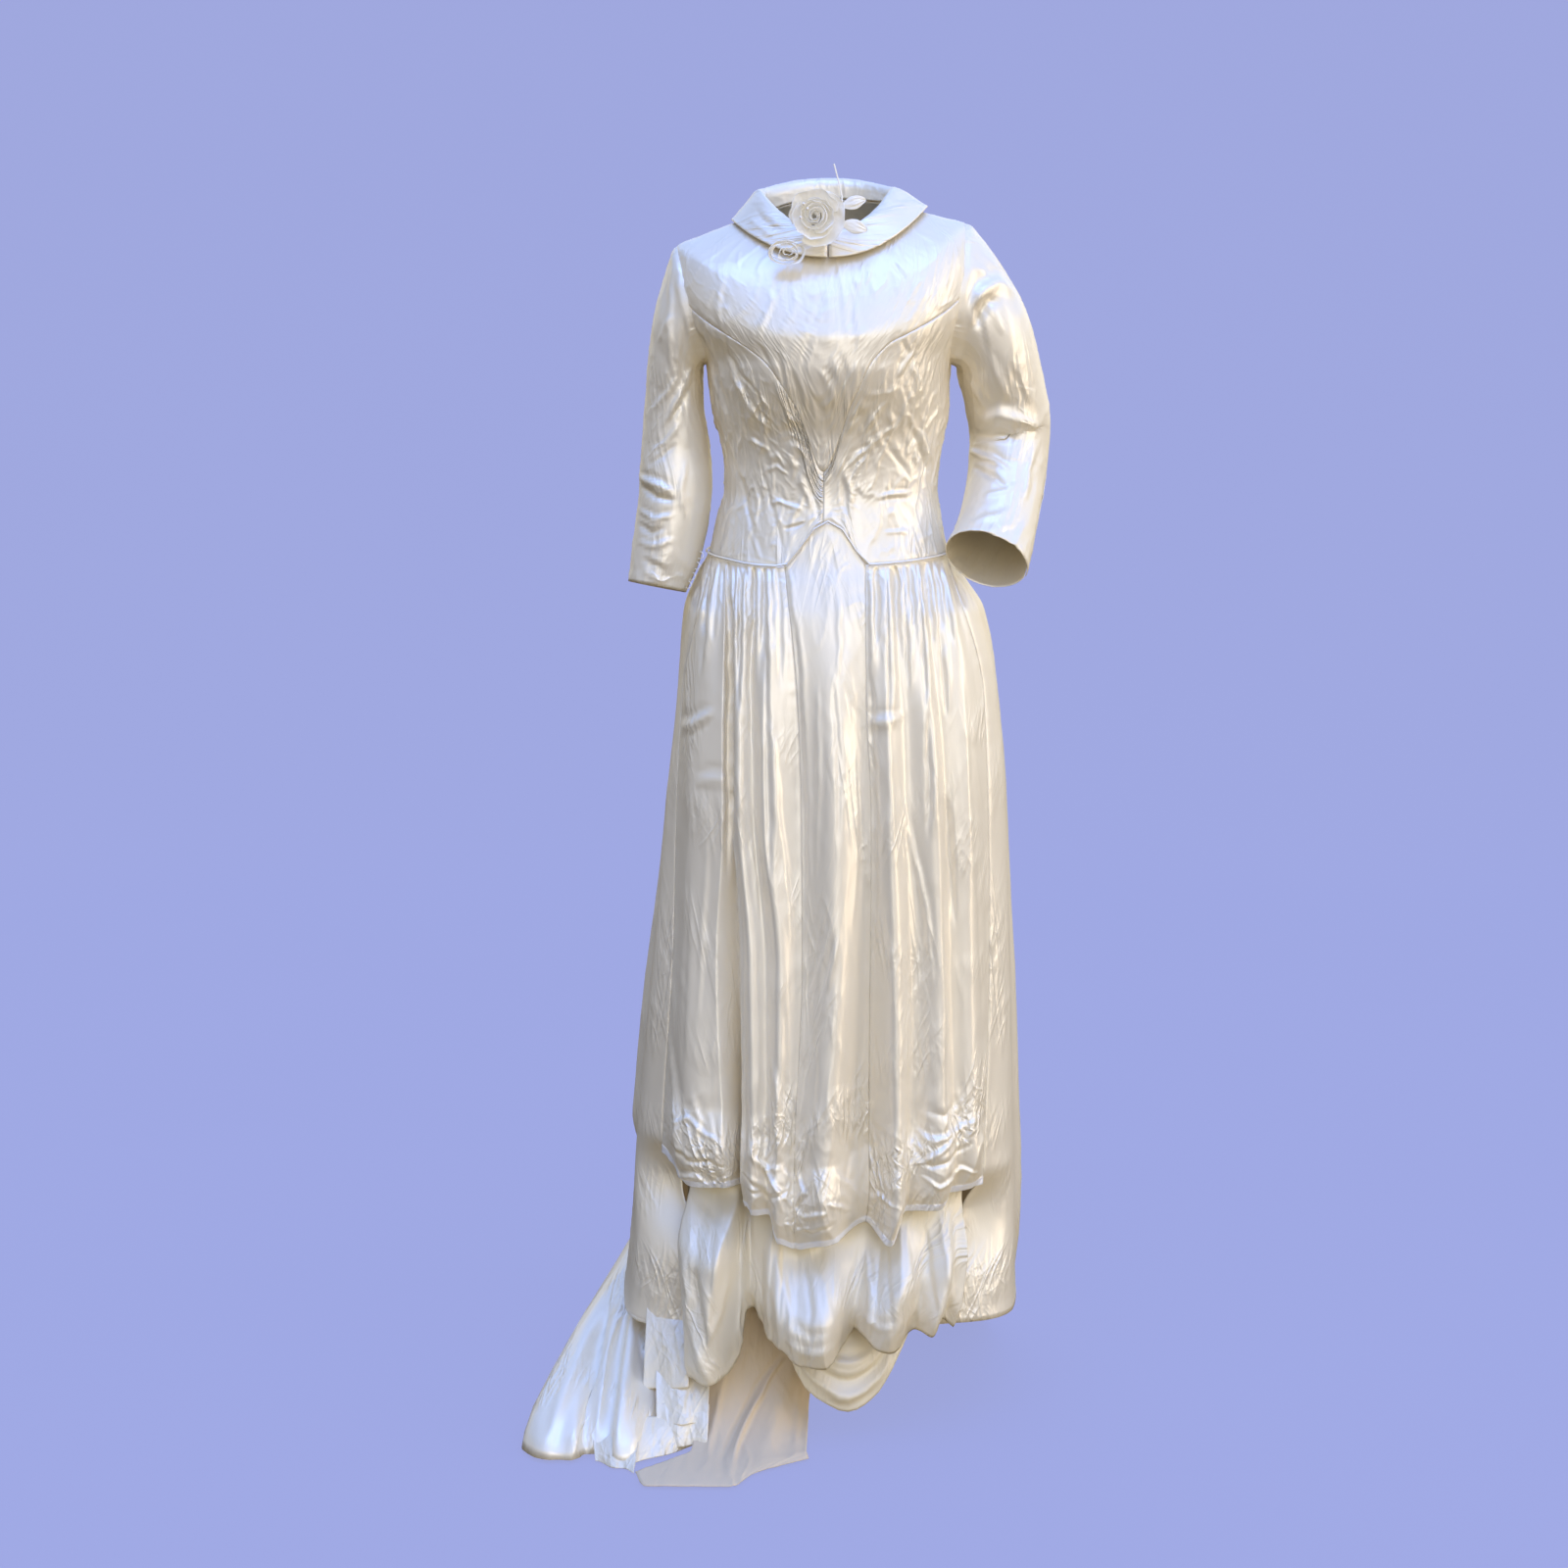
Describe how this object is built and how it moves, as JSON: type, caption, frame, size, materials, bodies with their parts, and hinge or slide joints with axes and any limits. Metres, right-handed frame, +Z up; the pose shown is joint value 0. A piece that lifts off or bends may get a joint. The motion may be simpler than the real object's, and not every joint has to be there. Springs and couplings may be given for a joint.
{
  "type": "evening gown",
  "caption": "Floor-length satin evening gown with a V yoke, a folded collar, long sleeves and a gathered skirt with a train.",
  "frame": {"origin": "middle of the neck opening, level with the neck points, where the wearer's shoulders hold the gown", "axes": "+Z up the gown, -Y its front, +X the wearer's left"},
  "size_m": [0.6662, 0.8139, 1.5857],
  "materials": {
    "satin": "ivory satin with a soft sheen",
    "tier": "ivory satin, in the shade of the hem above it",
    "lining": "matte pinkish cream lining",
    "organza": "fine stiff organza",
    "thread": "twisted white thread"
  },
  "bodies": {
    "root": {"bodice_yoke": "satin", "bodice_side_front_left": "satin", "bodice_side_front_right": "satin", "bodice_back_left": "satin", "bodice_back_right": "satin", "sleeve_left": "satin", "sleeve_right": "satin", "collar": "satin", "waist_piping": "satin", "skirt_centre_front": "satin", "skirt_side_front_left": "satin", "skirt_side_front_right": "satin", "skirt_side_left": "satin", "skirt_side_right": "satin", "skirt_back_left": "satin", "skirt_back_right": "satin", "lower_tier": "tier", "underskirt": "lining", "train_lining": "lining", "rose_petal_1": "organza", "rose_petal_2": "organza", "rose_petal_3": "organza", "rose_petal_4": "organza", "rose_petal_5": "organza", "rose_core": "organza", "rose_bud": "organza", "rose_leaf_1": "organza", "rose_leaf_2": "organza", "rose_stem": "organza", "button_loop_1": "thread", "button_loop_2": "thread", "button_loop_3": "thread", "button_loop_4": "thread"}
  },
  "joints": []
}
